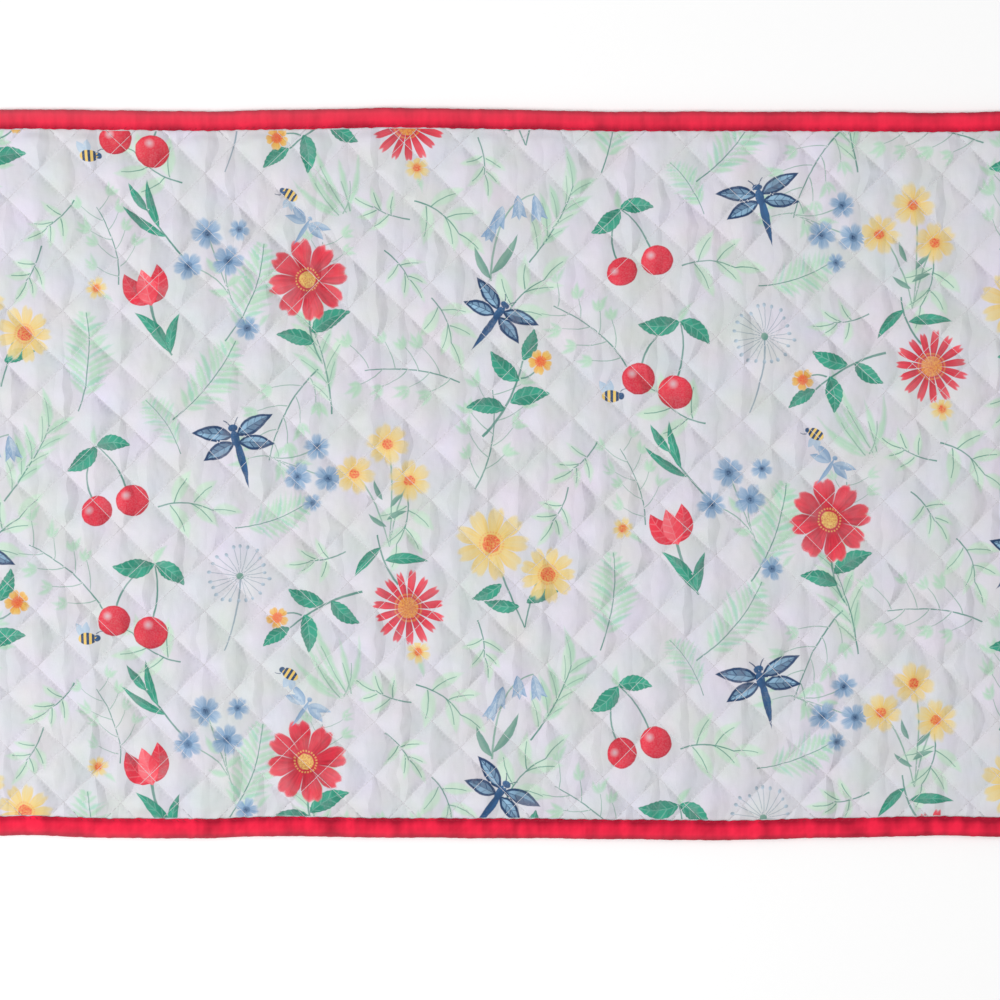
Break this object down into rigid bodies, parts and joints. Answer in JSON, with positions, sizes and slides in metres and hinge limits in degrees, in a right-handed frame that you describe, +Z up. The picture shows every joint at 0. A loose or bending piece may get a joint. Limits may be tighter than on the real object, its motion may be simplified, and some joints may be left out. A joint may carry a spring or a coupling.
{
  "type": "quilted fabric placemat",
  "caption": "Rectangular placemat of quilted cloth, sewn in diamonds and edged with a folded binding, lying flat.",
  "frame": {"origin": "on the table under the middle of the mat", "axes": "+X along the mat's long side, +Y towards its back long edge, +Z up"},
  "size_m": [0.483, 0.3326, 0.0039],
  "materials": {
    "quilted_cloth": "printed woven cloth, quilted",
    "binding_cloth": "plain woven bias tape"
  },
  "bodies": {
    "root": {"panel": "quilted_cloth", "binding_back": "binding_cloth", "binding_front": "binding_cloth", "binding_left": "binding_cloth", "binding_right": "binding_cloth"}
  },
  "joints": []
}
